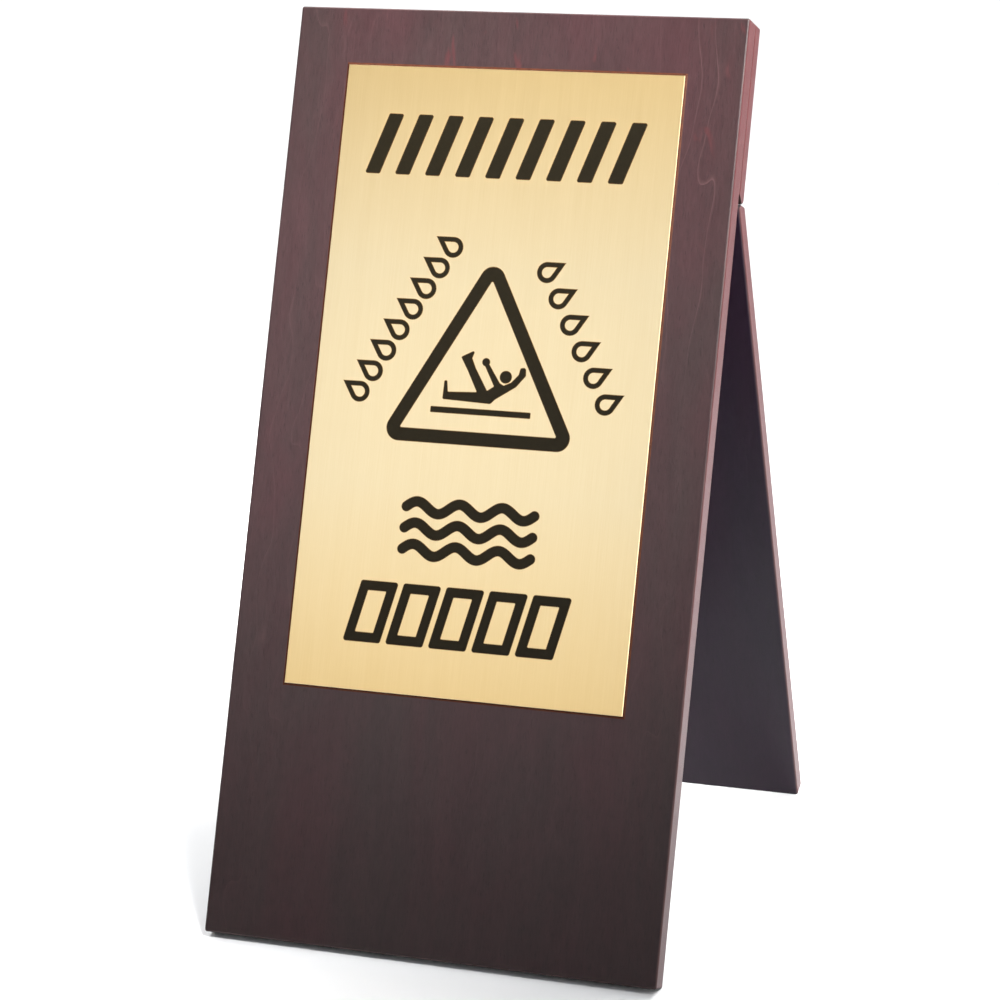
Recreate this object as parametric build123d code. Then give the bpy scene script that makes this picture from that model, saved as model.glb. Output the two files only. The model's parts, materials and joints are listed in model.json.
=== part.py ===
from build123d import *
import os
from math import atan2, cos, degrees, radians, sin

# A folding A-frame floor sign in dark lacquered wood with a thin metal face plate.
#
# Everything is drawn in the front board's own frame, in millimetres: X across the sign, Y from
# the front face towards the back, Z up the board from its bottom edge.  The rear leg is drawn
# folded flat behind the front board, then swung open.  At the end the sign is leant back until
# it stands on the two bottom edges, with the origin under the middle of its bounding box.

# ---- boards ----
WIDTH = 304.8               # all three boards, 12 in
HEIGHT = 609.6              # front board, 24 in
FRONT_T = 15.875            # front board thickness, 5/8 in
BACK_T = 12.7               # header block and rear leg thickness, 1/2 in
BLOCK_H = 114.3             # header block height, 4 1/2 in
EASE = 1.6                  # rounding of every board edge
BLOCK_NOSE_R = 3.6          # rounding of the block's lower outer edge
POCKET_H = 5.5              # bevel above the hinge barrels: its height on the block
POCKET_D = 7.5              # and its depth
POCKET_PLAY = 0.6           # the leg's bevel starts this much further out
OPEN_DEG = 41.0             # angle between front board and leg on the stop
STOP_GAP = 0.3              # between the block's end and the leg's bevelled end when open
FOLD_GAP = 0.5              # between the leg and the front board when folded
FOOT_LIFT = 1.0             # the folded leg ends this far above the front board's end

# ---- face plate ----
PLATE_W = 228.6             # 9 in
PLATE_H = 406.4             # 16 in
PLATE_T = 1.0
PLATE_BEVEL = 0.45
PLATE_MARGIN = 38.1         # board left clear above the plate and at each side
FILM_T = 0.3                # adhesive film behind the plate
FILM_INSET = 2.0

# ---- hinges, one near each side ----
HINGE_X = 90.0              # middle of each hinge, from the sign's middle
HINGE_L = 50.0
LEAF_T = 1.2
LEAF_W = 20.0               # from the pin to the leaf's far edge
LEAF_SETBACK = 0.3          # leaf and barrel stay this far behind the front board
KNUCKLE_R = 2.4
KNUCKLE_GAP = 0.3
PIN_R = 1.2
PIN_RUN = 0.05              # radial clearance of the pin in the moving knuckle
PIN_HEAD_R = 1.9
PIN_HEAD_T = 0.7
MORTISE_PLAY = 0.1
BARREL_PLAY = 0.1           # between the barrels and the slope cut on the leg
LEAF_CORNER_R = 1.0

# ---- screws ----
SCREW_PLAY = 0.05           # radial, shank to pilot hole and head to countersink
LEAF_SCREW_R = 1.4
LEAF_SCREW_HEAD_R = 2.6
LEAF_SCREW_L = 9.0
LEAF_SCREW_SPOTS = [(-17.0, 8.5), (0.0, 14.5), (17.0, 8.5)]    # along the leaf, away from the pin
BLOCK_SCREW_R = 2.1
BLOCK_SCREW_HEAD_R = 4.0
BLOCK_SCREW_L = 25.0
BLOCK_SCREW_X = 45.0
BLOCK_SCREW_Z = (18.0, 62.0)    # above the block's lower end
SCREW_TIP = 0.3             # the blunt tip's radius, as a share of the shank's
DRIVE_DEPTH = 0.6           # recess in a screw's head
DRIVE_HALF = 0.35
DRIVE_REACH = 0.62          # half the length of each slot, as a share of the head's radius

BLOCK_BOTTOM = HEIGHT - BLOCK_H
PIN_Y = FRONT_T + LEAF_SETBACK + KNUCKLE_R
PIN_Z = BLOCK_BOTTOM - STOP_GAP / 2
PLATE_Z = HEIGHT - PLATE_MARGIN - PLATE_H / 2
OVERCUT = 1.0               # cutters start this far outside the surface they cut
PIN_AXIS = Axis((0, PIN_Y, PIN_Z), (1, 0, 0))


def span(x0, x1, y0, y1, z0, z1):
    """A box between two corners."""
    size = (x1 - x0, y1 - y0, z1 - z0)
    return Pos((x0 + x1) / 2, (y0 + y1) / 2, (z0 + z1) / 2) * Box(*size)


def rod_x(radius, x0, x1, y=PIN_Y, z=PIN_Z):
    """A round bar along X."""
    return Pos((x0 + x1) / 2, y, z) * Rot(0, 90, 0) * Cylinder(radius, x1 - x0)


def plank(outline):
    """A board of full width whose side view is the outline, a list of (y, z) points."""
    face = make_face(Polyline(*[(0, y, z) for y, z in outline], close=True))
    return Pos(-WIDTH / 2, 0, 0) * extrude(face, WIDTH, dir=(1, 0, 0))


def tapered_screw(radius, head_r, length, play=0.0):
    """A countersunk screw along +Y, its head's flat face at y 0.  With play it cuts its own hole."""
    r, rh = radius + play, head_r + play
    taper = rh - r
    outline = [(0, 0), (rh, 0), (r, taper), (r, length - r), (SCREW_TIP * r, length), (0, length)]
    half = make_face(Polyline(*outline, close=True))
    return revolve(half, Axis.Y)


def screw(radius, head_r, length):
    """A countersunk wood screw with a crossed recess in its head."""
    reach = DRIVE_REACH * head_r
    slot = span(-reach, reach, 0, DRIVE_DEPTH, -DRIVE_HALF, DRIVE_HALF)
    cross = slot + Rot(0, 90, 0) * slot
    return tapered_screw(radius, head_r, length) - cross


# ---------------------------------------------------------------- boards

def block_screw_spots():
    """Where the block's screws stand, seen from the front: all of them behind the face plate."""
    return [(x, BLOCK_BOTTOM + z) for x in (-BLOCK_SCREW_X, BLOCK_SCREW_X) for z in BLOCK_SCREW_Z]


def block_screw_cutters():
    return [
        Pos(x, 0, z) * tapered_screw(BLOCK_SCREW_R, BLOCK_SCREW_HEAD_R, BLOCK_SCREW_L, SCREW_PLAY)
        for x, z in block_screw_spots()
    ]


def leaf_screw_cutter(side, x, away, y):
    cutter = tapered_screw(LEAF_SCREW_R, LEAF_SCREW_HEAD_R, LEAF_SCREW_L, SCREW_PLAY)
    return Pos(side * HINGE_X + x, y, PIN_Z + away) * cutter


def make_front_board():
    board = span(-WIDTH / 2, WIDTH / 2, 0, FRONT_T, 0, HEIGHT)
    board = fillet(board.edges(), EASE)
    return board - block_screw_cutters()


def make_header_block():
    """Its lower end is bevelled on the inside to make room for the hinge barrels."""
    inner, outer = FRONT_T, FRONT_T + BACK_T
    block = plank([
        (inner, BLOCK_BOTTOM + POCKET_H),
        (inner + POCKET_D, BLOCK_BOTTOM),
        (outer, BLOCK_BOTTOM),
        (outer, HEIGHT),
        (inner, HEIGHT),
    ])
    nose = block.edges().filter_by(Axis.X).group_by(Axis.Z)[0].sort_by(Axis.Y)[-1]
    block = fillet(nose, BLOCK_NOSE_R)
    block = fillet(block.edges().filter_by(Axis.X).group_by(Axis.Z)[-1], EASE)
    block = fillet(block.edges().filter_by(Axis.Z), EASE)
    for side in (-1, 1):
        half = HINGE_L / 2 + MORTISE_PLAY
        block -= span(
            side * HINGE_X - half, side * HINGE_X + half,
            inner - OVERCUT, inner + LEAF_SETBACK + LEAF_T,
            BLOCK_BOTTOM - OVERCUT, PIN_Z + LEAF_W + MORTISE_PLAY,
        )
        for x, away in LEAF_SCREW_SPOTS:
            block -= leaf_screw_cutter(side, x, away, inner + LEAF_SETBACK)
    return block - block_screw_cutters()


def leg_top_outline():
    """The leg's upper end, from its inner face to its outer face, when folded.

    On the stop the bevelled end lies level with the block's end.  Near the pin it is cut back
    along a slope that clears the barrels."""
    inner = FRONT_T + FOLD_GAP
    outer = inner + BACK_T
    a = radians(OPEN_DEG)
    tip = POCKET_D + FRONT_T - PIN_Y + POCKET_PLAY
    below = STOP_GAP / 2
    tip_y = PIN_Y + tip * cos(a) - below * sin(a)
    tip_z = PIN_Z - tip * sin(a) - below * cos(a)
    outer_z = tip_z - (outer - tip_y) * sin(a) / cos(a)
    return [(inner, PIN_Z - KNUCKLE_R - BARREL_PLAY), (tip_y, tip_z), (outer, outer_z)]


def make_rear_leg():
    inner = FRONT_T + FOLD_GAP
    outer = inner + BACK_T
    leg = plank(leg_top_outline() + [(outer, FOOT_LIFT), (inner, FOOT_LIFT)])
    leg = fillet(leg.edges().filter_by(Axis.X).group_by(Axis.Z)[0], EASE)
    outer_edges = leg.edges().filter_by(Axis.X).group_by(Axis.Y)[-1]
    leg = fillet(outer_edges.sort_by(Axis.Z)[-1], EASE)
    leg = fillet(leg.edges().filter_by(Axis.Z), EASE)
    for side in (-1, 1):
        half = HINGE_L / 2 + MORTISE_PLAY
        leg -= span(
            side * HINGE_X - half, side * HINGE_X + half,
            inner - OVERCUT, FRONT_T + LEAF_SETBACK + LEAF_T,
            PIN_Z - LEAF_W - MORTISE_PLAY, PIN_Z,
        )
        for x, away in LEAF_SCREW_SPOTS:
            leg -= leaf_screw_cutter(side, x, -away, FRONT_T + LEAF_SETBACK)
    return leg


# ---------------------------------------------------------------- face plate

def make_face_plate():
    plate = Pos(0, -FILM_T - PLATE_T / 2, PLATE_Z) * Box(PLATE_W, PLATE_T, PLATE_H)
    front = plate.faces().sort_by(Axis.Y)[0]
    return chamfer(front.edges(), PLATE_BEVEL)


def make_plate_adhesive():
    return Pos(0, -FILM_T / 2, PLATE_Z) * Box(PLATE_W - 2 * FILM_INSET, FILM_T, PLATE_H - 2 * FILM_INSET)


def make_block_screws():
    one = screw(BLOCK_SCREW_R, BLOCK_SCREW_HEAD_R, BLOCK_SCREW_L)
    return [Pos(x, 0, z) * one for x, z in block_screw_spots()]


# ---------------------------------------------------------------- hinges

def knuckle_spans(side):
    """The stretches of the barrel along X: first the two end knuckles, then the middle one."""
    x0 = side * HINGE_X - HINGE_L / 2
    third = HINGE_L / 3
    ends = [
        (x0, x0 + third - KNUCKLE_GAP / 2),
        (x0 + 2 * third + KNUCKLE_GAP / 2, x0 + HINGE_L),
    ]
    middle = [(x0 + third + KNUCKLE_GAP / 2, x0 + 2 * third - KNUCKLE_GAP / 2)]
    return ends, middle


def make_leaf(side, own, other, bore_r, up):
    """A hinge leaf, tangent to the front of the barrel: up is 1 for the block's leaf, -1 for the leg's."""
    x0 = side * HINGE_X - HINGE_L / 2
    y0 = FRONT_T + LEAF_SETBACK
    low, high = sorted((PIN_Z, PIN_Z + up * LEAF_W))
    leaf = span(x0, x0 + HINGE_L, y0, y0 + LEAF_T, low, high)
    far = [e for e in leaf.edges().filter_by(Axis.Y) if abs(e.center().Z - PIN_Z) > LEAF_W / 2]
    leaf = fillet(far, LEAF_CORNER_R)
    for a, b in own:
        leaf += rod_x(KNUCKLE_R, a, b)
    clear = KNUCKLE_R + KNUCKLE_GAP
    for a, b in other:
        left = a - (KNUCKLE_GAP if a > x0 else OVERCUT)
        right = b + (KNUCKLE_GAP if b < x0 + HINGE_L else OVERCUT)
        leaf -= span(left, right, y0 - OVERCUT, y0 + LEAF_T + OVERCUT, PIN_Z - clear, PIN_Z + clear)
    leaf -= rod_x(bore_r, x0 - OVERCUT, x0 + HINGE_L + OVERCUT)
    for x, away in LEAF_SCREW_SPOTS:
        leaf -= leaf_screw_cutter(side, x, up * away, y0)
    return leaf


def make_pin(side):
    """The pin, with a low head at each end of the barrel."""
    x0 = side * HINGE_X - HINGE_L / 2
    x1 = x0 + HINGE_L
    pin = rod_x(PIN_R, x0, x1)
    return pin + rod_x(PIN_HEAD_R, x0 - PIN_HEAD_T, x0) + rod_x(PIN_HEAD_R, x1, x1 + PIN_HEAD_T)


def make_leaf_screws(side, up):
    one = screw(LEAF_SCREW_R, LEAF_SCREW_HEAD_R, LEAF_SCREW_L)
    y0 = FRONT_T + LEAF_SETBACK
    return [Pos(side * HINGE_X + x, y0, PIN_Z + up * away) * one for x, away in LEAF_SCREW_SPOTS]


# ---------------------------------------------------------------- the whole sign

def fixed_pieces():
    """What stays with the front board."""
    pieces = {
        "front_board": [make_front_board()],
        "header_block": [make_header_block()],
        "face_plate": [make_face_plate()],
        "plate_adhesive": [make_plate_adhesive()],
        "block_screws": make_block_screws(),
    }
    for name, side in (("left", -1), ("right", 1)):
        ends, middle = knuckle_spans(side)
        pieces[name + "_hinge_upper_leaf"] = [make_leaf(side, ends, middle, PIN_R, 1)]
        pieces[name + "_hinge_pin"] = [make_pin(side)]
        pieces[name + "_upper_leaf_screws"] = make_leaf_screws(side, 1)
    return pieces


def leg_pieces():
    """What swings with the rear leg, drawn folded."""
    pieces = {"rear_leg": [make_rear_leg()]}
    for name, side in (("left", -1), ("right", 1)):
        ends, middle = knuckle_spans(side)
        pieces[name + "_hinge_lower_leaf"] = [make_leaf(side, middle, ends, PIN_R + PIN_RUN, -1)]
        pieces[name + "_lower_leaf_screws"] = make_leaf_screws(side, -1)
    return pieces


def stance():
    """How far the sign leans back, in degrees, when it stands on the front board's bottom back
    edge and the leg's bottom inner edge.  Both edges are rounded alike, so the line between the
    middles of the two roundings is level."""
    a = radians(OPEN_DEG)
    y, z = FRONT_T + FOLD_GAP + EASE - PIN_Y, FOOT_LIFT + EASE - PIN_Z
    leg_y = PIN_Y + y * cos(a) - z * sin(a)
    leg_z = PIN_Z + y * sin(a) + z * cos(a)
    return degrees(atan2(leg_z - EASE, leg_y - (FRONT_T - EASE)))


def assemble():
    """Every node as a list of solids in the standing frame, and the hinge pin's place in it."""
    nodes = fixed_pieces()
    for name, solids in leg_pieces().items():
        nodes[name] = [s.rotate(PIN_AXIS, OPEN_DEG) for s in solids]
    lean = stance()
    nodes = {n: [s.rotate(Axis.X, -lean) for s in solids] for n, solids in nodes.items()}
    boxes = [s.bounding_box() for solids in nodes.values() for s in solids]
    y_mid = (min(b.min.Y for b in boxes) + max(b.max.Y for b in boxes)) / 2
    z_low = min(b.min.Z for b in boxes)
    place = Pos(0, -y_mid, -z_low)
    nodes = {n: [place * s for s in solids] for n, solids in nodes.items()}
    pin = place * Rot(-lean, 0, 0) * Pos(0, PIN_Y, PIN_Z)
    return nodes, pin.position


def main():
    os.makedirs("parts", exist_ok=True)
    nodes, pin = assemble()
    for name, solids in nodes.items():
        shape = solids[0] if len(solids) == 1 else Compound(children=solids)
        export_step(shape, "parts/" + name + ".step")
    print("pin at", [round(v, 3) for v in pin], "lean", round(stance(), 3))


main()
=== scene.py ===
import json
import math

import bmesh
import bpy
from mathutils import Matrix, Vector


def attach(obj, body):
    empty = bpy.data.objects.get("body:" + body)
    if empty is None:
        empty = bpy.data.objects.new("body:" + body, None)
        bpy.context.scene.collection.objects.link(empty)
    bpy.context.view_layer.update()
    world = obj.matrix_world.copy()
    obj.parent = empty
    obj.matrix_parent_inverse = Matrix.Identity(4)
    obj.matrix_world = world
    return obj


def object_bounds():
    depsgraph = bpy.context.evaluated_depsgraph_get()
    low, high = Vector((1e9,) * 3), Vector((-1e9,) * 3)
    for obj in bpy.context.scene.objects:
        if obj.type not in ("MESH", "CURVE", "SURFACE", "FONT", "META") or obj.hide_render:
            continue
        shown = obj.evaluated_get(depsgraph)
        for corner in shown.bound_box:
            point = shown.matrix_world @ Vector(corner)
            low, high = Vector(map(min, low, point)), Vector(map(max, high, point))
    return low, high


# The looks of a folding wooden floor sign: stained wood boards, a brushed brass face plate with a
# black enamel legend of plain shapes, brass hinges and plated screws.

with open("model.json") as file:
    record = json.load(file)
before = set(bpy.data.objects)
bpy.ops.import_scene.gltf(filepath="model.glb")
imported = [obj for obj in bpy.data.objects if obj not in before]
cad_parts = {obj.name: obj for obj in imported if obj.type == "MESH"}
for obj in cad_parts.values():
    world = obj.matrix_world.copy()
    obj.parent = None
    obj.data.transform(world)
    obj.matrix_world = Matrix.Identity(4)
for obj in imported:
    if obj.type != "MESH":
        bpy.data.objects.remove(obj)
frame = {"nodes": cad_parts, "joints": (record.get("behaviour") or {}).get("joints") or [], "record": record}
CAD_LOW, CAD_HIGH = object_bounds()

MM = 0.001


# ---------------------------------------------------------------- places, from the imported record

def mount(name):
    return next(m for m in frame["record"]["mounts"] if m["name"] == name)


FACE_AXIS = Vector(mount("sign_face")["axis"])
FACE_MIDDLE = Vector(mount("sign_face")["pos_m"])
LEAN = math.atan2(FACE_AXIS.z, -FACE_AXIS.y)                # the front board leans back this far
OPEN = math.radians(-frame["joints"][0]["range_deg"][0])     # angle between front board and leg


def board_axes(turn):
    """The directions across, through and up a board that is turned about X."""
    c, s = math.cos(turn), math.sin(turn)
    return Vector((1, 0, 0)), Vector((0, c, -s)), Vector((0, s, c))


ACROSS_FACE, _, UP_FACE = board_axes(LEAN)

# Columns: across the plate, up the plate, out of the plate.
PLATE = Matrix((ACROSS_FACE, UP_FACE, FACE_AXIS)).transposed().to_4x4()
PLATE.translation = FACE_MIDDLE


def plate_halves():
    """Half the plate's width and height in mm, measured on its mesh."""
    inverse = PLATE.inverted()
    corners = [inverse @ v.co for v in frame["nodes"]["face_plate"].data.vertices]
    return max(c.x for c in corners) / MM, max(c.y for c in corners) / MM


PLATE_HALF_W, PLATE_HALF_H = plate_halves()


# ---------------------------------------------------------------- node helpers

class Shader:
    """A material with its Principled shader, and short ways to add nodes and links."""

    def __init__(self, name):
        self.material = bpy.data.materials.new(name)
        self.material.use_nodes = True
        self.tree = self.material.node_tree
        self.bsdf = next(n for n in self.tree.nodes if n.type == "BSDF_PRINCIPLED")

    def add(self, kind, **settings):
        made = self.tree.nodes.new(kind)
        for key, value in settings.items():
            setattr(made, key, value)
        return made

    def link(self, source, target):
        self.tree.links.new(source, target)

    def feed(self, socket, value):
        """Sets a socket to a constant, or links it."""
        if isinstance(value, bpy.types.NodeSocket):
            self.link(value, socket)
        else:
            socket.default_value = value

    def mapped(self, vector, scale=(1, 1, 1), rotation=(0, 0, 0), location=(0, 0, 0)):
        made = self.add("ShaderNodeMapping")
        self.link(vector, made.inputs["Vector"])
        made.inputs["Scale"].default_value = scale
        made.inputs["Rotation"].default_value = rotation
        made.inputs["Location"].default_value = location
        return made.outputs["Vector"]

    def noise(self, vector, scale, detail=2.0, roughness=0.5, distortion=0.0):
        made = self.add("ShaderNodeTexNoise")
        self.link(vector, made.inputs["Vector"])
        made.inputs["Scale"].default_value = scale
        made.inputs["Detail"].default_value = detail
        made.inputs["Roughness"].default_value = roughness
        made.inputs["Distortion"].default_value = distortion
        return made.outputs["Fac"]

    def ramp(self, value, *stops):
        """A colour ramp; each stop is (place, grey or colour)."""
        made = self.add("ShaderNodeValToRGB")
        band = made.color_ramp
        while len(band.elements) < len(stops):
            band.elements.new(0.5)
        for element, (place, colour) in zip(band.elements, stops):
            if not isinstance(colour, tuple):
                colour = (colour,) * 3
            element.position = place
            element.color = (*colour, 1)
        self.link(value, made.inputs["Fac"])
        return made.outputs["Color"]

    def mix(self, factor, a, b, blend="MIX"):
        made = self.add("ShaderNodeMix", data_type="RGBA", blend_type=blend)
        self.feed(made.inputs["Factor"], factor)
        for socket, value in ((made.inputs[6], a), (made.inputs[7], b)):
            self.feed(socket, (*value, 1) if isinstance(value, tuple) else value)
        return made.outputs[2]

    def maths(self, operation, a, b=0.0):
        made = self.add("ShaderNodeMath", operation=operation)
        self.feed(made.inputs[0], a)
        self.feed(made.inputs[1], b)
        return made.outputs[0]

    def bump(self, height, strength, distance):
        made = self.add("ShaderNodeBump")
        made.inputs["Strength"].default_value = strength
        made.inputs["Distance"].default_value = distance
        self.link(height, made.inputs["Height"])
        return made.outputs["Normal"]

    def parts(self, vector):
        """The X, Y and Z of a vector, as a node's outputs."""
        made = self.add("ShaderNodeSeparateXYZ")
        self.link(vector, made.inputs[0])
        return made.outputs

    def set(self, **values):
        """Sets the shader's own sockets, each to a constant or a link."""
        names = {
            "colour": "Base Color", "metallic": "Metallic", "roughness": "Roughness", "ior": "IOR",
            "normal": "Normal", "coat": "Coat Weight", "coat_roughness": "Coat Roughness",
            "specular": "Specular IOR Level",
        }
        for key, value in values.items():
            self.feed(self.bsdf.inputs[names[key]], (*value, 1) if isinstance(value, tuple) else value)

    def board_vector(self, turn, offset=(0, 0, 0)):
        """Object coordinates turned about X, so that Z runs up the board, and moved."""
        coordinate = self.add("ShaderNodeTexCoord").outputs["Object"]
        return self.mapped(coordinate, rotation=(turn, 0, 0), location=offset)

    def facing(self, direction):
        """How squarely the surface faces a fixed direction: 1 facing it, 0 beside it."""
        normal = self.add("ShaderNodeTexCoord").outputs["Normal"]
        dot = self.add("ShaderNodeVectorMath", operation="DOT_PRODUCT")
        self.link(normal, dot.inputs[0])
        dot.inputs[1].default_value = direction
        return dot.outputs["Value"]

    def board_facing(self, turn):
        """How squarely the surface lies along each direction of a board: across, through and up it."""
        return [self.maths("ABSOLUTE", self.facing(direction)) for direction in board_axes(turn)]


# ---------------------------------------------------------------- materials

WOOD_OLIVE = (0.0220, 0.0125, 0.0125)
WOOD_RED = (0.0285, 0.0115, 0.0128)
WOOD_PORE = (0.008, 0.004, 0.005)
WOOD_FLAME = (0.046, 0.0130, 0.0140)
WOOD_LINE = (0.080, 0.040, 0.040)
# The side colour is redder than the faces, and lighter as painted light for the light on the sides.
WOOD_SIDE_LIT = (0.082, 0.0135, 0.0145)
# The edge colour is partly wear and partly a painted highlight on the eased edges.
WOOD_WORN_AND_HIGHLIGHT = (0.10, 0.050, 0.045)
WOOD_INNER_SHADE = (0.40, 0.34, 0.85)            # painted shade: a dark bluish tint over the face that the leg turns to the front board, which shades it


def stained_wood(name, turn, offset, flames=0.0, inner=False):
    """Close-grained wood in a dark red-brown stain under satin lacquer; the grain runs up the board.

    turn is the board's angle about X and offset moves the pattern. flames is how strongly red flames
    show, and inner paints shade on the leg's inner face: a dark bluish tint where the front board shades it.
    """
    s = Shader(name)
    place = s.board_vector(turn, offset)

    # Broad clouds of stain between olive brown and red brown, drawn out up the board.
    cloud = s.noise(s.mapped(place, (1, 1, 0.35)), 13, detail=5, roughness=0.62, distortion=0.6)
    base = s.mix(s.ramp(cloud, (0.36, 0.0), (0.66, 1.0)), WOOD_OLIVE, WOOD_RED)

    # Fine fibres and short dark pores.
    fibre = s.noise(s.mapped(place, (1, 1, 0.14)), 900, detail=4, roughness=0.7)
    base = s.mix(1.0, base, s.ramp(fibre, (0.28, 0.82), (0.72, 1.18)), "MULTIPLY")
    streak = s.noise(s.mapped(place, (1, 1, 0.16)), 110, detail=4, roughness=0.6, distortion=0.6)
    base = s.mix(1.0, base, s.ramp(streak, (0.3, 0.90), (0.7, 1.10)), "MULTIPLY")
    pore_noise = s.noise(s.mapped(place, (1, 1, 0.16)), 1500, detail=2, roughness=0.5)
    pores = s.ramp(pore_noise, (0.60, 0.0), (0.70, 1.0))
    base = s.mix(s.maths("MULTIPLY", pores, 0.45), base, WOOD_PORE)

    # Growth rings cut at a shallow angle: sparse pale lines, which show in a stretch beside the
    # plate's right edge and more faintly in patches elsewhere.
    rings = s.add("ShaderNodeTexWave", wave_type="BANDS", bands_direction="X", wave_profile="SAW")
    s.link(s.mapped(place, (1, 1, 0.30)), rings.inputs["Vector"])
    rings.inputs["Scale"].default_value = 16
    rings.inputs["Distortion"].default_value = 6
    rings.inputs["Detail"].default_value = 0.5
    rings.inputs["Detail Scale"].default_value = 3.5
    line = s.ramp(rings.outputs["Fac"], (0.0, 1.0), (0.03, 0.3), (0.08, 0.0), (1.0, 0.0))
    side, _, height = s.parts(place)
    beside_plate = s.maths(
        "MULTIPLY",
        s.ramp(side, (0.085, 0.0), (0.115, 1.0)),
        s.ramp(height, (0.30, 0.0), (0.37, 1.0), (0.52, 1.0), (0.58, 0.0)),
    )
    patch = s.ramp(s.noise(s.mapped(place, (1, 1, 0.5)), 9, detail=2), (0.46, 0.0), (0.62, 0.35))
    shown = s.maths("MAXIMUM", beside_plate, patch)
    base = s.mix(s.maths("MULTIPLY", s.maths("MULTIPLY", line, shown), 0.5), base, WOOD_LINE)

    # A few short red flames, high up the board.
    lick = s.noise(s.mapped(place, (1, 1, 0.34)), 48, detail=3, roughness=0.55, distortion=1.8)
    high = s.ramp(height, (0.36, 0.0), (0.46, 1.0))
    base = s.mix(s.maths("MULTIPLY", s.ramp(lick, (0.64, 0.0), (0.72, flames)), high), base, WOOD_FLAME)

    # Painted shade: the leg's inner face, which the front board shades, is tinted dark and bluish.
    if inner:
        inside = s.ramp(s.facing(-board_axes(turn)[1]), (0.5, 0.0), (0.9, 1.0))
        base = s.mix(1.0, base, s.mix(inside, (1.0, 1.0, 1.0), WOOD_INNER_SHADE), "MULTIPLY")

    # The sides are redder, and lighter as painted light for the light that falls on them; the end grain is
    # darker. The colour darkens towards the front board's foot as painted shade for the light falling off
    # downwards; the other boards' offsets keep them clear of that. Edges are rubbed pale, partly wear and
    # partly a painted highlight.
    across, through, up = s.board_facing(turn)
    # Painted light: the sides get a lighter, redder colour, standing in for the light that falls on them.
    side_tone_and_light = s.mix(s.ramp(fibre, (0.3, 0.0), (0.7, 0.35)), WOOD_SIDE_LIT, WOOD_RED)
    base = s.mix(s.ramp(across, (0.75, 0.0), (0.95, 1.0)), base, side_tone_and_light)
    base = s.mix(s.ramp(up, (0.5, 0.0), (0.9, 0.65)), base, WOOD_PORE)
    # Painted shade: the colour darkens towards the board's foot, for the light falling off down it.
    painted_foot_shade = s.ramp(height, (0.0, 0.72), (0.22, 1.0))
    base = s.mix(1.0, base, painted_foot_shade, "MULTIPLY")
    flat = s.maths("MAXIMUM", s.maths("MAXIMUM", across, through), up)
    # Partly wear and partly a painted highlight: the eased edges are painted paler.
    edge = s.ramp(flat, (0.80, 0.35), (0.97, 0.0))
    edge_wear_and_highlight = s.maths("MULTIPLY", edge, s.ramp(streak, (0.4, 0.4), (0.6, 1.0)))
    base = s.mix(edge_wear_and_highlight, base, WOOD_WORN_AND_HIGHLIGHT)

    # Satin lacquer, dull on the end grain and where an edge is rubbed.
    dull_end = s.ramp(up, (0.5, 0.0), (0.9, 0.45))
    dull_edge = s.ramp(flat, (0.80, 0.22), (0.99, 0.0))
    satin = s.maths("ADD", s.maths("MULTIPLY", fibre, 0.14), 0.26)
    rough = s.maths("ADD", satin, s.maths("MAXIMUM", dull_end, dull_edge))
    grain = s.maths("SUBTRACT", s.maths("MULTIPLY", fibre, 0.6), s.maths("MULTIPLY", pores, 0.7))
    s.set(colour=base, roughness=rough, ior=1.33, normal=s.bump(grain, 0.35, 0.00012))
    return s.material


BRASS_PALE = (0.655, 0.525, 0.290)
BRASS_DEEP = (0.625, 0.490, 0.260)
BRASS_MIDDLE_HIGHLIGHT = (0.97, 1.00, 1.12)           # a painted highlight: a paler tint over the plate's middle
BRASS_ENDS_SHADE = (1.02, 0.93, 0.78)             # and painted shade: a deeper gold over its top and bottom ends
BRASS_BEVEL_HIGHLIGHT = (0.86, 0.66, 0.38)


def brushed_brass(name):
    """The face plate: fine brushing up and down, clear lacquer, a bevel painted bright as a painted
    highlight, and a painted highlight down its middle.
    """
    s = Shader(name)
    place = s.board_vector(LEAN)
    stroke = s.noise(s.mapped(place, (1, 1, 0.012)), 1800, detail=4, roughness=0.7)
    band = s.noise(s.mapped(place, (1, 1, 0.03)), 150, detail=3, roughness=0.6)
    both = s.maths("ADD", s.maths("MULTIPLY", stroke, 0.72), s.maths("MULTIPLY", band, 0.28))
    colour = s.mix(s.ramp(both, (0.35, 0.0), (0.65, 1.0)), BRASS_DEEP, BRASS_PALE)
    # Painted highlight: paler down the plate's middle and deeper gold towards its top and bottom ends.
    height = s.parts(place)["Z"]
    from_middle = s.maths("ABSOLUTE", s.maths("SUBTRACT", height, UP_FACE.dot(FACE_MIDDLE)))
    highlight_drift = s.maths("DIVIDE", from_middle, PLATE_HALF_H * MM)
    colour = s.mix(1.0, colour, s.ramp(highlight_drift, (0.35, BRASS_MIDDLE_HIGHLIGHT), (1.0, BRASS_ENDS_SHADE)), "MULTIPLY")
    # Painted highlight: the bevel round the plate is painted brighter than its face.
    flat = s.ramp(s.facing(tuple(FACE_AXIS)), (0.86, 0.0), (0.97, 1.0))
    colour = s.mix(flat, BRASS_BEVEL_HIGHLIGHT, colour)
    rough = s.maths("ADD", s.maths("MULTIPLY", both, 0.08), 0.32)
    s.set(
        colour=colour, metallic=1.0, roughness=rough, coat=0.4, coat_roughness=0.30,
        normal=s.bump(stroke, 0.08, 0.00004),
    )
    return s.material


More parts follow.
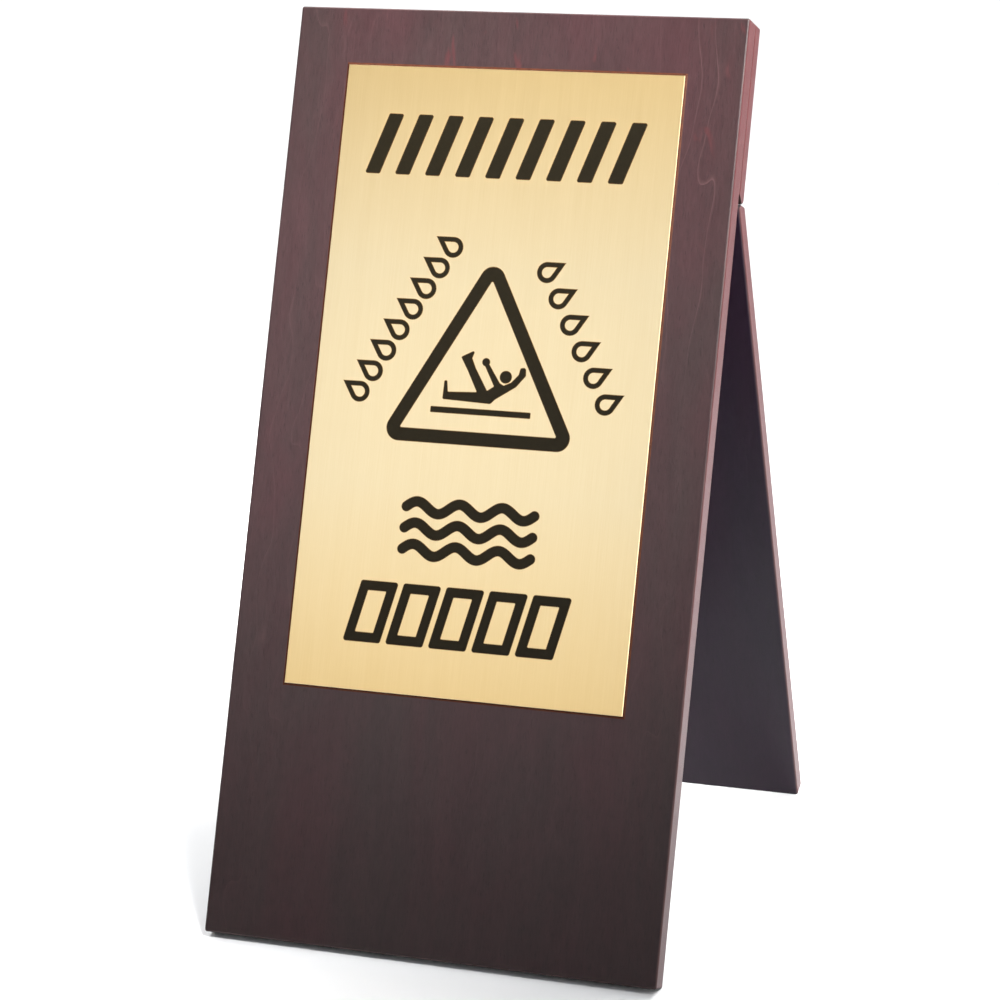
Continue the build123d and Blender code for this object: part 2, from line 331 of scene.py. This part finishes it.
def enamel(name, colour, roughness):
    """Filled enamel with a faint mottle."""
    s = Shader(name)
    place = s.board_vector(LEAN)
    mottle = s.noise(place, 900, detail=3)
    darker = tuple(0.72 * c for c in colour)
    tone = s.mix(s.ramp(mottle, (0.3, 0.0), (0.7, 1.0)), darker, colour)
    rough = s.maths("ADD", s.maths("MULTIPLY", mottle, 0.15), roughness)
    s.set(colour=tone, roughness=rough, specular=0.10, normal=s.bump(mottle, 0.15, 0.00003))
    return s.material


def plain_metal(name, pale, dark, roughness, scale):
    """Small turned or rolled metal parts: a mottled tarnish and fine scratches."""
    s = Shader(name)
    place = s.board_vector(0)
    tarnish = s.noise(place, scale, detail=4, roughness=0.6)
    scratch = s.noise(s.mapped(place, (0.06, 1, 1)), 9 * scale, detail=2)
    colour = s.mix(s.ramp(tarnish, (0.35, 0.0), (0.7, 1.0)), dark, pale)
    rough = s.maths("ADD", s.maths("MULTIPLY", tarnish, 0.25), roughness)
    s.set(colour=colour, metallic=1.0, roughness=rough, normal=s.bump(scratch, 0.2, 0.00003))
    return s.material


def adhesive(name):
    """Cloudy double-sided film."""
    s = Shader(name)
    mottle = s.noise(s.board_vector(LEAN), 300, detail=3)
    colour = s.mix(s.ramp(mottle, (0.3, 0.0), (0.7, 1.0)), (0.52, 0.49, 0.42), (0.64, 0.61, 0.54))
    s.set(colour=colour, roughness=0.6, normal=s.bump(mottle, 0.2, 0.00005))
    return s.material


def finish_cad_nodes():
    """Gives every CAD node its material."""
    leg_turn = LEAN - OPEN
    brass = plain_metal("hinge_brass", (0.66, 0.46, 0.20), (0.42, 0.27, 0.11), 0.26, 260)
    steel = plain_metal("screw_steel", (0.62, 0.60, 0.55), (0.36, 0.33, 0.28), 0.28, 420)
    given = {
        "front_board": stained_wood("wood_front", LEAN, (0, 0, 0), flames=0.65),
        "header_block": stained_wood("wood_block", LEAN, (1.7, 0.4, 0.9)),
        "rear_leg": stained_wood("wood_leg", leg_turn, (0.9, 2.1, 3.3), inner=True),
        "face_plate": brushed_brass("brass_plate"),
        "plate_adhesive": adhesive("adhesive_film"),
    }
    for node, piece in frame["nodes"].items():
        material = given.get(node)
        if material is None:
            material = steel if node.endswith("screws") else brass
        piece.data.materials.clear()
        piece.data.materials.append(material)


# ---------------------------------------------------------------- outlines, in mm on the plate

def arc(middle, radius, start, end, steps):
    """Points along an arc, angles in degrees."""
    turns = [math.radians(start + (end - start) * i / steps) for i in range(steps + 1)]
    return [(middle[0] + radius * math.cos(t), middle[1] + radius * math.sin(t)) for t in turns]


def softened(corners, steps=8):
    """A polygon whose corners are each rounded by a radius of their own: a list of (x, y, radius)."""
    outline = []
    count = len(corners)
    for i in range(count):
        x, y, radius = corners[i]
        here = Vector((x, y))
        if radius == 0:
            outline.append((x, y))
            continue
        to_last = (Vector(corners[i - 1][:2]) - here).normalized()
        to_next = (Vector(corners[(i + 1) % count][:2]) - here).normalized()
        half = to_last.angle(to_next) / 2
        middle = here + (to_last + to_next).normalized() * (radius / math.sin(half))
        first = here + to_last * (radius / math.tan(half)) - middle
        last = here + to_next * (radius / math.tan(half)) - middle
        turn = -math.degrees(first.angle_signed(last))
        start = math.degrees(math.atan2(first.y, first.x))
        outline += arc(middle, radius, start, start + turn, steps)
    return outline


def rounded(corners, radius, steps=8):
    """A polygon with all its corners rounded alike."""
    return softened([(x, y, radius) for x, y in corners], steps)


def grown(corners, distance):
    """The corners of a convex polygon with every side moved out; anticlockwise."""
    out = []
    count = len(corners)
    for i in range(count):
        here = Vector(corners[i])
        to_last = (Vector(corners[i - 1]) - here).normalized()
        to_next = (Vector(corners[(i + 1) % count]) - here).normalized()
        half = to_last.angle(to_next) / 2
        out.append(tuple(here - (to_last + to_next).normalized() * (distance / math.sin(half))))
    return out


def drop(radius, reach, steps=30):
    """A teardrop standing on its round end, its middle at the origin and its tip at the height reach."""
    side = math.degrees(math.asin(radius / reach))
    return arc((0, 0), radius, -180 - side, side, steps) + [(0, reach)]


def placed(outline, x, y, turn=0.0):
    """An outline turned by degrees and moved."""
    c, s = math.cos(math.radians(turn)), math.sin(math.radians(turn))
    return [(x + c * u - s * v, y + s * u + c * v) for u, v in outline]


def leaning(width, height, slant):
    """A parallelogram on the origin: its bottom left corner, anticlockwise."""
    return [(0, 0), (width, 0), (width + slant, height), (slant, height)]


def ribbon(path, width):
    """A stroke of constant width with round ends along a smooth path."""
    steps = 12                  # in each end's half circle
    left, right = [], []
    count = len(path)
    for i, point in enumerate(path):
        a = Vector(path[max(i - 1, 0)])
        b = Vector(path[min(i + 1, count - 1)])
        along = (b - a).normalized()
        across = Vector((-along.y, along.x)) * width / 2
        left.append(tuple(Vector(point) + across))
        right.append(tuple(Vector(point) - across))
    first = Vector(path[1]) - Vector(path[0])
    last = Vector(path[-1]) - Vector(path[-2])
    begin = math.degrees(math.atan2(first.y, first.x))
    end = math.degrees(math.atan2(last.y, last.x))
    cap_end = arc(path[-1], width / 2, end - 90, end + 90, steps)[1:-1]
    cap_begin = arc(path[0], width / 2, begin + 90, begin + 270, steps)[1:-1]
    return right + cap_end + left[::-1] + cap_begin


# ---------------------------------------------------------------- the legend

ENAMEL_T = 0.10             # how far the black stands proud of the plate
RIM_T = 0.04                # the same of the brown line that shows round it
RIM_W = 0.28                # and its width

ENAMEL_BLACK = (0.006, 0.0042, 0.0012)
RIM_BROWN = (0.16, 0.085, 0.03)


def sheet_mesh(loops, thickness, offset):
    """A flat closed body that stands on the plate; a loop inside another is a hole."""
    curve = bpy.data.curves.new("outline", "CURVE")
    curve.dimensions = "2D"
    curve.fill_mode = "BOTH"
    curve.extrude = thickness * MM / 2
    curve.offset = offset * MM
    for loop in loops:
        spline = curve.splines.new("POLY")
        spline.points.add(len(loop) - 1)
        for point, (x, y) in zip(spline.points, loop):
            point.co = (x * MM, y * MM, 0, 1)
        spline.use_cyclic_u = True
    holder = bpy.data.objects.new("outline", curve)
    mesh = bpy.data.meshes.new_from_object(holder)
    bpy.data.objects.remove(holder)
    bpy.data.curves.remove(curve)
    mesh.transform(Matrix.Translation((0, 0, thickness * MM / 2)))
    return mesh


def legend_piece(name, loops, black, brown):
    """Black enamel with a thin brown rim, riding on the front panel."""
    made = bmesh.new()
    for index, (thickness, offset) in enumerate(((ENAMEL_T, 0.0), (RIM_T, RIM_W))):
        mesh = sheet_mesh(loops, thickness, offset)
        start = len(made.faces)
        made.from_mesh(mesh)
        made.faces.ensure_lookup_table()
        for face in made.faces[start:]:
            face.material_index = index
            face.smooth = False
        bpy.data.meshes.remove(mesh)
    bmesh.ops.remove_doubles(made, verts=made.verts, dist=1e-7)
    mesh = bpy.data.meshes.new(name)
    made.to_mesh(mesh)
    made.free()
    mesh.transform(PLATE)
    mesh.materials.append(black)
    mesh.materials.append(brown)
    piece = bpy.data.objects.new(name, mesh)
    bpy.context.scene.collection.objects.link(piece)
    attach(piece, "front_panel")


TRIANGLE_BASE = -32.4       # the clear inside of the triangle
TRIANGLE_HALF = 53.5
TRIANGLE_TOP = 66.3
TRIANGLE_STROKE = 8.4

HEADING = (-95.0, 132.0, 188.0, 39.5)       # left, bottom, width, height of each row of marks
WAVES = (-46.0, -117.0, 93.0, 41.0)
TILES = (-77.0, -172.0, 151.0, 39.5)

DROPS_LEFT = (8, (-83.0, -11.0), (-29.0, 86.0), 61.0)       # how many, first, last, turn in degrees
DROPS_RIGHT = (6, (36.0, 73.0), (83.0, -9.0), -61.0)
FLOOR_LINE = [(-33.2, -21.0), (34.2, -21.0), (34.2, -17.4), (-33.2, -17.4)]


def hazard_bars():
    """A row of slanted bars."""
    left, bottom, width, height = HEADING
    count, bar, slant = 9, 10.0, 13.0
    pitch = (width - bar - slant) / (count - 1)
    return [
        placed(rounded(leaning(bar, height, slant), 1.2), left + i * pitch, bottom)
        for i in range(count)
    ]


def triangle():
    """A broad line round a triangle: its corners are round outside and nearly sharp inside."""
    inner = [(-TRIANGLE_HALF, TRIANGLE_BASE), (TRIANGLE_HALF, TRIANGLE_BASE), (0, TRIANGLE_TOP)]
    outer = grown(inner, TRIANGLE_STROKE)
    return [rounded(outer, TRIANGLE_STROKE, 16), rounded(inner, 1.0, 6)]


def drops(count, first, last, turn):
    """Outlined drops in a row from first to last, each standing square to the row."""
    radius, reach, stroke = 6.6, 13.5, 2.9
    inner = radius - stroke
    loops = []
    for i in range(count):
        t = i / (count - 1)
        x = first[0] + (last[0] - first[0]) * t
        y = first[1] + (last[1] - first[1]) * t
        loops.append(placed(drop(radius, reach), x, y, turn))
        loops.append(placed(drop(inner, reach * inner / radius), x, y, turn))
    return loops


def waves():
    """Three ripples, one above the other."""
    left, bottom, width, height = WAVES
    stroke, swing, count, crests, steps = 6.4, 3.6, 3, 3, 96
    pitch = (height - stroke - 2 * swing) / (count - 1)
    run = width - stroke
    loops = []
    for row in range(count):
        middle = bottom + stroke / 2 + swing + row * pitch
        path = []
        for i in range(steps + 1):
            t = i / steps
            rise = swing * math.sin(2 * math.pi * crests * t)
            path.append((left + stroke / 2 + run * t, middle + rise))
        loops.append(ribbon(path, stroke))
    return loops


def tiles():
    """A strip of five floor tiles seen at a slant."""
    left, bottom, width, height = TILES
    count, stroke, slant, gap = 5, 6.0, 9.0, 4.0
    tile = (width - slant - gap * (count - 1)) / count
    loops = []
    for i in range(count):
        outer = leaning(tile, height, slant)
        inner = grown(outer, -stroke)
        x = left + i * (tile + gap)
        loops.append(placed(rounded(outer, 1.6), x, bottom))
        loops.append(placed(rounded(inner, 0.8), x, bottom))
    return loops


def slipping_figure():
    """A person losing their footing: the body with both arms and legs, and the head as a disc."""
    body = [
        (-25.8, -12.1, 0.8), (6.6, -13.3, 2.0), (9.6, -10.2, 1.5), (22.8, -1.4, 3.0), (28.6, 6.0, 1.5),
        (28.2, 11.0, 1.5), (24.8, 10.6, 1.3), (24.0, 6.2, 2.0), (19.4, 1.0, 2.0), (14.4, -1.3, 1.0),
        (11.6, 0.2, 0.6),
    ]
    hand = [(x, y, 0) for x, y in arc((1.2, 13.2), 2.5, -32, 262, 20)]
    legs = [
        (8.3, -2.1, 0.7), (3.6, -5.4, 0.7), (-5.4, 8.6, 6.0), (-8.6, 15.2, 1.2), (-7.0, 20.2, 0.7),
        (-15.8, 15.6, 0.7), (-10.4, 7.0, 6.0), (-2.8, -6.6, 0.7), (-22.9, -7.5, 0.7), (-24.0, -0.2, 0.7),
        (-25.6, -0.4, 0.6),
    ]
    return [softened(body + hand + legs), arc((15.4, 4.4), 3.9, 0, 350, 35)]


def make_legend():
    black = enamel("legend_black", ENAMEL_BLACK, 0.38)
    brown = enamel("legend_rim", RIM_BROWN, 0.40)
    legend_piece("legend_hazard_bars", hazard_bars(), black, brown)
    legend_piece("legend_triangle", triangle(), black, brown)
    legend_piece("legend_drops_left", drops(*DROPS_LEFT), black, brown)
    legend_piece("legend_drops_right", drops(*DROPS_RIGHT), black, brown)
    legend_piece("legend_waves", waves(), black, brown)
    legend_piece("legend_tiles", tiles(), black, brown)
    legend_piece("legend_figure", slipping_figure(), black, brown)
    legend_piece("legend_floor_line", [rounded(FLOOR_LINE, 0.5, 4)], black, brown)


# ---------------------------------------------------------------- bead round the plate

BEAD_W = 1.35               # out from the plate's side, on the board
BEAD_H = 1.0                # up the plate's side
BEAD_PALE = (0.052, 0.014, 0.005)
BEAD_DEEP = (0.030, 0.008, 0.003)
BOARD_FACE = -1.3           # the board's face, below the plate's


def make_bead():
    """A thin brown line that shows all round the plate, sloping from its side to the board."""
    made = bmesh.new()
    rings = []
    for grow, rise in ((-0.3, BEAD_H), (0.0, BEAD_H), (0.45 * BEAD_W, 0.30), (BEAD_W, 0.0)):
        w, h = PLATE_HALF_W + grow, PLATE_HALF_H + grow
        corners = ((-w, -h), (w, -h), (w, h), (-w, h))
        rings.append([made.verts.new((x * MM, y * MM, (BOARD_FACE + rise) * MM)) for x, y in corners])
    for inner, outer in zip(rings, rings[1:]):
        for i in range(4):
            j = (i + 1) % 4
            made.faces.new((inner[i], outer[i], outer[j], inner[j]))
    mesh = bpy.data.meshes.new("plate_bead")
    made.normal_update()
    made.to_mesh(mesh)
    made.free()
    mesh.transform(PLATE)
    s = Shader("plate_edge_brown")
    mottle = s.noise(s.board_vector(LEAN), 260, detail=3)
    colour = s.mix(s.ramp(mottle, (0.3, 0.0), (0.7, 1.0)), BEAD_DEEP, BEAD_PALE)
    s.set(colour=colour, roughness=0.6, specular=0.12, normal=s.bump(mottle, 0.2, 0.00004))
    mesh.materials.append(s.material)
    piece = bpy.data.objects.new("plate_bead", mesh)
    bpy.context.scene.collection.objects.link(piece)
    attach(piece, "front_panel")


# ---------------------------------------------------------------- studio

CAMERA_AZIMUTH = 19.40          # degrees to the right of straight in front
CAMERA_HEIGHT = 15.72           # degrees above the horizon
CAMERA_ROLL = 0.88
CAMERA_REACH = 2.074            # metres from the aim point
CAMERA_LENS = 112.8             # millimetres
CAMERA_SENSOR = 36              # millimetres
AIM_OFFSET = Vector((-0.0065, -0.011, -0.029))      # from the middle of the sign's box

WORLD_TINT = (0.72, 0.84, 1.0)
WORLD_LIGHT = 0.15

# The plate mirrors the first, and the second lights the boards' sides. The others face the
# floor: behind the sign, in front of it, beside the leg, and where they lighten its shadow.
SOFTBOXES = [                   # name, place, target, size, radiance
    ("front_softbox", (-0.53, -1.46, 0.91), (0, 0, 0.38), (1.0, 0.70), 1.55),
    ("edge_softbox", (1.75, -0.55, 0.58), (0, -0.1, 0.35), (0.3, 1.15), 7.0),
    ("floor_softbox", (-1.3, 2.3, 2.4), (-1.3, 2.3, 0.0), (3.6, 2.6), 2.8),
    ("top_softbox", (-0.8, -0.9, 2.6), (-0.8, -0.9, 0.0), (2.6, 1.2), 0.35),
    ("side_softbox", (0.7, 0.75, 1.4), (0.45, 0.4, 0.0), (0.7, 0.7), 19.0),
    ("shadow_softbox", (-0.8, 0.5, 1.3), (-0.35, 0.25, 0.0), (0.7, 0.7), 9.0),
]
SPOT_PLACE = (1.08, -1.10, 2.13)
SPOT_TARGET = (-0.02, 0.0, 0.59)        # the top of the front board, so that the wood darkens downwards
SPOT_RADIUS = 0.35
SPOT_CONE = 20.5                        # degrees
SPOT_POWER = 2150

FLOOR_BEND = 2.7                # the flat floor's radius, where the sweep starts to bend up
FLOOR_BEND_R = 1.2
FLOOR_TOP = 3.2
FLOOR_TURNS = 96                # steps round the sweep
FLOOR_STEPS = 24                # steps up its bend


def make_camera():
    aim = (CAD_LOW + CAD_HIGH) / 2 + AIM_OFFSET
    a, e = math.radians(CAMERA_AZIMUTH), math.radians(CAMERA_HEIGHT)
    back = Vector((math.sin(a) * math.cos(e), -math.cos(a) * math.cos(e), math.sin(e)))
    data = bpy.data.cameras.new("camera")
    data.lens = CAMERA_LENS
    data.sensor_width = CAMERA_SENSOR
    data.clip_start = 0.05
    data.clip_end = 50
    camera = bpy.data.objects.new("camera", data)
    camera.location = aim + back * CAMERA_REACH
    roll = Matrix.Rotation(math.radians(-CAMERA_ROLL), 3, "Z")
    camera.rotation_euler = ((-back).to_track_quat("-Z", "Y").to_matrix() @ roll).to_euler()
    bpy.context.scene.collection.objects.link(camera)
    bpy.context.scene.camera = camera


def aimed(name, data, place, target):
    light = bpy.data.objects.new(name, data)
    light.location = place
    light.rotation_euler = (Vector(target) - Vector(place)).to_track_quat("-Z", "Y").to_euler()
    bpy.context.scene.collection.objects.link(light)


def softbox(name, place, target, size, radiance):
    """A rectangle of even brightness; its power follows from its size."""
    data = bpy.data.lights.new(name, "AREA")
    data.shape = "RECTANGLE"
    data.size, data.size_y = size
    data.energy = radiance * math.pi * size[0] * size[1]
    aimed(name, data, place, target)


def front_spot():
    data = bpy.data.lights.new("front_spot", "SPOT")
    data.shadow_soft_size = SPOT_RADIUS
    data.spot_size = math.radians(SPOT_CONE)
    data.spot_blend = 1.0
    data.energy = SPOT_POWER
    aimed("front_spot", data, SPOT_PLACE, SPOT_TARGET)


def make_floor():
    """A pale seamless sweep all round: a round floor that bends up into a wall."""
    made = bmesh.new()
    profile = [
        (FLOOR_BEND + FLOOR_BEND_R * math.sin(t), FLOOR_BEND_R - FLOOR_BEND_R * math.cos(t))
        for t in [math.radians(90 * i / FLOOR_STEPS) for i in range(FLOOR_STEPS + 1)]
    ]
    profile.append((FLOOR_BEND + FLOOR_BEND_R, FLOOR_TOP))
    rows = []
    for turn in range(FLOOR_TURNS):
        a = 2 * math.pi * turn / FLOOR_TURNS
        rows.append([made.verts.new((r * math.cos(a), r * math.sin(a), z)) for r, z in profile])
    made.faces.new([row[0] for row in rows])
    for turn in range(FLOOR_TURNS):
        here, after = rows[turn], rows[(turn + 1) % FLOOR_TURNS]
        for i in range(len(profile) - 1):
            face = made.faces.new((here[i], after[i], after[i + 1], here[i + 1]))
            face.smooth = True
    mesh = bpy.data.meshes.new("studio_floor")
    made.to_mesh(mesh)
    made.free()
    s = Shader("studio_floor")
    tone = s.noise(s.board_vector(0), 3.0, detail=2)
    colour = s.mix(tone, (0.80, 0.80, 0.80), (0.83, 0.83, 0.83))
    s.set(colour=colour, roughness=0.75, specular=0.2)
    mesh.materials.append(s.material)
    floor = bpy.data.objects.new("studio_floor", mesh)
    bpy.context.scene.collection.objects.link(floor)


def make_studio():
    scene = bpy.context.scene
    scene.view_settings.view_transform = "Standard"
    world = bpy.data.worlds.new("studio")
    world.use_nodes = True
    background = next(n for n in world.node_tree.nodes if n.type == "BACKGROUND")
    background.inputs["Color"].default_value = (*WORLD_TINT, 1)
    background.inputs["Strength"].default_value = WORLD_LIGHT
    scene.world = world
    for name, place, target, size, radiance in SOFTBOXES:
        softbox(name, place, target, size, radiance)
    front_spot()
    make_floor()


finish_cad_nodes()
make_legend()
make_bead()
make_camera()
make_studio()
